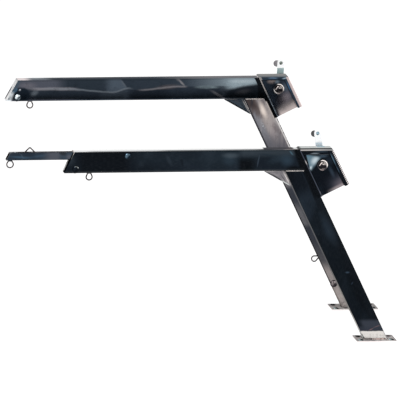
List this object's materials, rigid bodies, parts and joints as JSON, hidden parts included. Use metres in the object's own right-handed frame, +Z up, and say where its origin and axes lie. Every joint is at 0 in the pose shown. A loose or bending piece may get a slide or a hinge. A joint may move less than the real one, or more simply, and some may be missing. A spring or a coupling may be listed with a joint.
{
  "type": "davit",
  "caption": "Boat davits of polished stainless tube: leaning legs on foot plates, level arms with tip sheaves and eyes, crank winches in folded housings, pull-out arm extension.",
  "frame": {"origin": "centre of the low davit's foot bolt pattern, on the deck under its foot plate", "axes": "+X inboard, away from the water (the arms point along -X); +Y from the low davit to the tall one; +Z up"},
  "size_m": [1.494, 0.7348, 0.9345],
  "materials": {
    "polished_steel": "mirror-polished stainless steel",
    "zinc_plated_steel": "zinc-plated steel",
    "bronze": "sintered bronze",
    "grip_plastic": "black moulded plastic",
    "sheave_nylon": "black nylon"
  },
  "bodies": {
    "stands": {"low_foot_plate": "polished_steel", "low_leg_tube": "polished_steel", "low_arm_tube": "polished_steel", "low_gusset": "polished_steel", "low_winch_shell": "polished_steel", "low_near_cheek": "polished_steel", "low_drum_axle": "polished_steel", "low_pawl_pin": "zinc_plated_steel", "low_sheave_pin": "polished_steel", "low_arm_eye": "polished_steel", "low_shaft_bearings": "bronze", "low_sheave_spacers": "polished_steel", "tall_foot_plate": "polished_steel", "tall_leg_tube": "polished_steel", "tall_arm_tube": "polished_steel", "tall_gusset": "polished_steel", "tall_winch_shell": "polished_steel", "tall_near_cheek": "polished_steel", "tall_drum_axle": "polished_steel", "tall_pawl_pin": "zinc_plated_steel", "tall_sheave_pin": "polished_steel", "tall_arm_eye": "polished_steel", "tall_shaft_bearings": "bronze", "tall_sheave_spacers": "polished_steel", "axle_washers": "polished_steel", "axle_nuts": "polished_steel", "sheave_nuts": "polished_steel", "clamp_nuts": "polished_steel", "low_guide_blocks": "sheave_nylon", "low_lock_bolt": "polished_steel", "low_lock_spacers": "polished_steel", "tall_rope_pin": "polished_steel", "tall_leg_eye": "polished_steel", "tall_leg_bolt": "polished_steel"},
    "low_drum": {"low_winch_drum": "zinc_plated_steel", "low_drum_gear": "zinc_plated_steel", "low_drum_bushes": "bronze"},
    "low_crank": {"low_crank_shaft": "zinc_plated_steel", "low_ratchet_wheel": "zinc_plated_steel", "low_crank_arm": "zinc_plated_steel", "low_crank_nut": "zinc_plated_steel", "low_grip_pin": "zinc_plated_steel"},
    "low_grip": {"low_crank_grip": "grip_plastic"},
    "low_pawl": {"low_pawl": "zinc_plated_steel"},
    "low_sheave": {"low_tip_sheave": "sheave_nylon"},
    "tall_drum": {"tall_winch_drum": "zinc_plated_steel", "tall_drum_gear": "zinc_plated_steel", "tall_drum_bushes": "bronze"},
    "tall_crank": {"tall_crank_shaft": "zinc_plated_steel", "tall_ratchet_wheel": "zinc_plated_steel", "tall_crank_arm": "zinc_plated_steel", "tall_crank_nut": "zinc_plated_steel", "tall_grip_pin": "zinc_plated_steel"},
    "tall_grip": {"tall_crank_grip": "grip_plastic"},
    "tall_pawl": {"tall_pawl": "zinc_plated_steel"},
    "tall_sheave": {"tall_tip_sheave": "sheave_nylon"},
    "low_extension": {"low_extension_tube": "polished_steel", "low_extension_ring": "polished_steel", "low_extension_eye": "polished_steel"}
  },
  "joints": [
    {"name": "low_drum_turn", "type": "hinge", "parent": "stands", "child": "low_drum", "pos_m": [-0.21653, 0, 0.66209], "axis": [0, 1, 0], "continuous": true},
    {"name": "low_crank_turn", "type": "hinge", "parent": "stands", "child": "low_crank", "pos_m": [-0.20492, 0, 0.61552], "axis": [0, 1, 0], "continuous": true},
    {"name": "low_grip_spin", "type": "hinge", "parent": "low_crank", "child": "low_grip", "pos_m": [-0.22296, 0.04792, 0.76467], "axis": [0.025, 0.9781, -0.2064], "continuous": true},
    {"name": "low_pawl_lift", "type": "hinge", "parent": "stands", "child": "low_pawl", "pos_m": [-0.17264, 0, 0.60866], "axis": [0, 1, 0], "range_deg": [0, 40]},
    {"name": "low_sheave_spin", "type": "hinge", "parent": "stands", "child": "low_sheave", "pos_m": [-1.129, 0, 0.6565], "axis": [0, 1, 0], "continuous": true},
    {"name": "tall_drum_turn", "type": "hinge", "parent": "stands", "child": "tall_drum", "pos_m": [-0.28402, 0.555, 0.83874], "axis": [0, 1, 0], "continuous": true},
    {"name": "tall_crank_turn", "type": "hinge", "parent": "stands", "child": "tall_crank", "pos_m": [-0.27241, 0.555, 0.79217], "axis": [0, 1, 0], "continuous": true},
    {"name": "tall_grip_spin", "type": "hinge", "parent": "tall_crank", "child": "tall_grip", "pos_m": [-0.26498, 0.60084, 0.92091], "axis": [-0.012, 0.9781, -0.2076], "continuous": true},
    {"name": "tall_pawl_lift", "type": "hinge", "parent": "stands", "child": "tall_pawl", "pos_m": [-0.24013, 0.555, 0.7853], "axis": [0, 1, 0], "range_deg": [0, 40]},
    {"name": "tall_sheave_spin", "type": "hinge", "parent": "stands", "child": "tall_sheave", "pos_m": [-1.26, 0.555, 0.8165], "axis": [0, 1, 0], "continuous": true},
    {"name": "low_extension_slide", "type": "slide", "parent": "stands", "child": "low_extension", "axis": [1, 0, 0], "range_m": [0, 0.13]}
  ],
  "couplings": [
    {"joint": "low_crank_turn", "follows": "low_drum_turn", "ratio": -3},
    {"joint": "tall_crank_turn", "follows": "tall_drum_turn", "ratio": -3}
  ]
}
